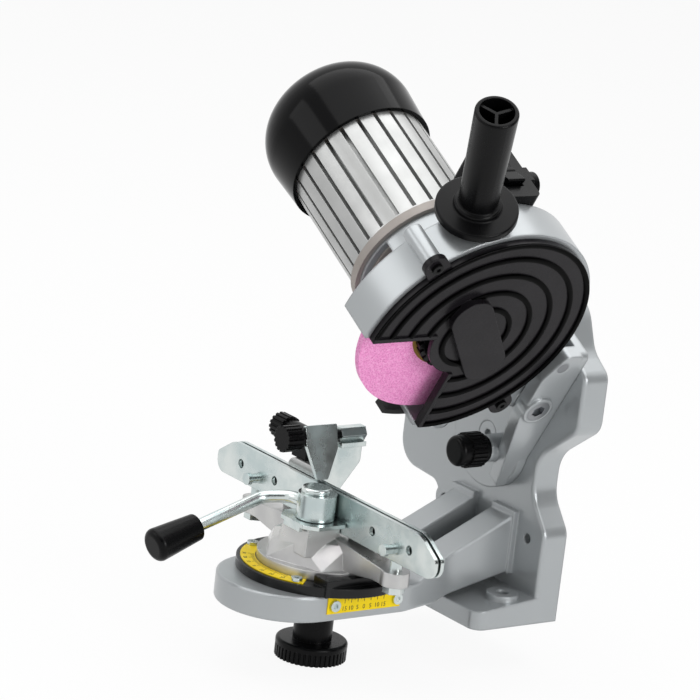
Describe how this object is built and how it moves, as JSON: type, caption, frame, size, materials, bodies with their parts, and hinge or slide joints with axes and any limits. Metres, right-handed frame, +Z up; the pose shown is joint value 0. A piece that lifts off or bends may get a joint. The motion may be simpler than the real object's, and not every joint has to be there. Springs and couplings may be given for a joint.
{
  "type": "bench chain grinder",
  "caption": "Bench grinder for saw chain: tilting motor head with a guarded pink wheel on a hinge above a swivelling, sliding chain vise with a cam lever and chain stop.",
  "frame": {"origin": "middle of the two foot bolt holes, on the underside of the foot", "axes": "+X to the user's right, +Y towards the back of the machine, +Z up; the arm points to -Y"},
  "size_m": [0.2724, 0.2651, 0.3896],
  "materials": {
    "cast_grey": "silver-grey coated casting",
    "raw_cast": "bare die casting",
    "machined": "extruded and turned, bright",
    "zinc": "zinc plated sheet and bar",
    "steel": "machined steel",
    "lamination": "stacked sheet",
    "copper": "enamelled winding",
    "black_gloss": "moulded, glossy",
    "black_satin": "moulded, satin",
    "black_coat": "black coated casting",
    "rubber": "moulded rubber",
    "abrasive": "bonded pink grain",
    "scale_yellow": "printed foil",
    "blotter": "pressed paper"
  },
  "bodies": {
    "base": {"base_casting": "cast_grey", "side_scale": "scale_yellow", "side_scale_screws": "zinc", "tilt_bolt": "zinc", "tilt_nut": "zinc"},
    "tilt": {"tilt_bracket": "cast_grey", "hinge_bolt": "steel", "hinge_nut": "zinc", "stop_pin": "steel", "depth_stud": "steel"},
    "depth_knob": {"depth_knob": "black_satin"},
    "head": {"wheel_guard": "cast_grey", "hinge_bushes": "steel", "return_spring": "steel", "wheel_cover": "black_satin", "cover_screws": "zinc", "spark_flap": "rubber", "stop_bumper": "rubber", "motor_front_shield": "cast_grey", "motor_housing": "machined", "stator_core": "lamination", "stator_windings": "copper", "motor_rear_shield": "cast_grey", "front_bearing": "steel", "rear_bearing": "steel", "fan_cover": "black_gloss", "handle": "black_satin", "switch_box": "black_satin", "cable_gland": "black_satin"},
    "spindle": {"motor_shaft": "steel", "rotor_core": "lamination", "cooling_fan": "black_satin", "inner_flange": "steel", "grinding_wheel": "abrasive", "wheel_blotters": "blotter", "clamp_flange": "black_satin"},
    "rocker": {"rocker_switch": "black_gloss"},
    "vise_slide": {"vise_carrier": "black_coat", "swivel_scale": "scale_yellow", "swivel_scale_screws": "zinc", "lock_washer": "zinc"},
    "lock_knob": {"lock_knob": "black_satin"},
    "vise_swivel": {"vise_body": "raw_cast", "lock_stud": "steel", "rear_jaw": "zinc", "rear_jaw_screws": "zinc", "guide_pins": "zinc", "jack_screws": "zinc", "cam_plate": "zinc", "cam_post": "zinc", "stop_block": "raw_cast", "stop_arm": "zinc", "stop_hex_post": "zinc"},
    "cam_lever": {"cam_hub": "zinc", "lever_rod": "zinc", "lever_knob": "black_satin"},
    "front_jaw": {"front_jaw": "zinc"},
    "pawl": {"stop_pawl": "zinc"},
    "stop_adjuster": {"stop_adjuster": "black_satin"},
    "stop_pivot": {"stop_pivot_knob": "black_satin"}
  },
  "joints": [
    {"name": "head_tilt", "type": "hinge", "parent": "base", "child": "tilt", "pos_m": [0, 0, 0.11], "axis": [0, 1, 0], "range_deg": [-30, 10]},
    {"name": "head_swing", "type": "hinge", "parent": "tilt", "child": "head", "pos_m": [0.02895, -0.0017, 0.16014], "axis": [0.866, 0, -0.5], "range_deg": [0, 40.5], "stiffness_Nm_per_rad": 4, "springref_deg": -108.86},
    {"name": "wheel_spin", "type": "hinge", "parent": "head", "child": "spindle", "pos_m": [0.06145, -0.0815, 0.21643], "axis": [0.866, 0, -0.5], "continuous": true},
    {"name": "switch_rock", "type": "hinge", "parent": "head", "child": "rocker", "pos_m": [0.08055, -0.07225, 0.30182], "axis": [0, 1, 0], "range_deg": [0, 12]},
    {"name": "depth_turn", "type": "hinge", "parent": "tilt", "child": "depth_knob", "pos_m": [0.01772, -0.02, 0.1067], "axis": [0, 1, 0], "range_deg": [-180, 180]},
    {"name": "vise_feed", "type": "slide", "parent": "base", "child": "vise_slide", "axis": [0, 1, 0], "range_m": [-0.015, 0.015]},
    {"name": "lock_turn", "type": "hinge", "parent": "vise_slide", "child": "lock_knob", "pos_m": [0, -0.113, 0], "axis": [0, 0, 1], "range_deg": [-180, 180]},
    {"name": "vise_turn", "type": "hinge", "parent": "vise_slide", "child": "vise_swivel", "pos_m": [0, -0.113, 0.035], "axis": [0, 0, 1], "range_deg": [-30, 30]},
    {"name": "cam_turn", "type": "hinge", "parent": "vise_swivel", "child": "cam_lever", "pos_m": [0.009, -0.1295, 0.07], "axis": [0, 0, 1], "range_deg": [0, 60]},
    {"name": "jaw_close", "type": "slide", "parent": "vise_swivel", "child": "front_jaw", "axis": [0, 1, 0], "range_m": [0, 0.00121]},
    {"name": "pawl_flip", "type": "hinge", "parent": "vise_swivel", "child": "pawl", "pos_m": [-0.02, -0.113, 0.1115], "axis": [0, 1, 0], "range_deg": [-50, 0]},
    {"name": "stop_adjust", "type": "hinge", "parent": "vise_swivel", "child": "stop_adjuster", "pos_m": [-0.05, -0.104, 0.1035], "axis": [1, 0, 0], "range_deg": [-180, 180]},
    {"name": "stop_lock", "type": "hinge", "parent": "vise_swivel", "child": "stop_pivot", "pos_m": [-0.02, -0.13, 0.1115], "axis": [0, 1, 0], "range_deg": [-90, 90]}
  ],
  "couplings": [
    {"joint": "jaw_close", "follows": "cam_turn", "m_per_rad": 0.0011459}
  ]
}
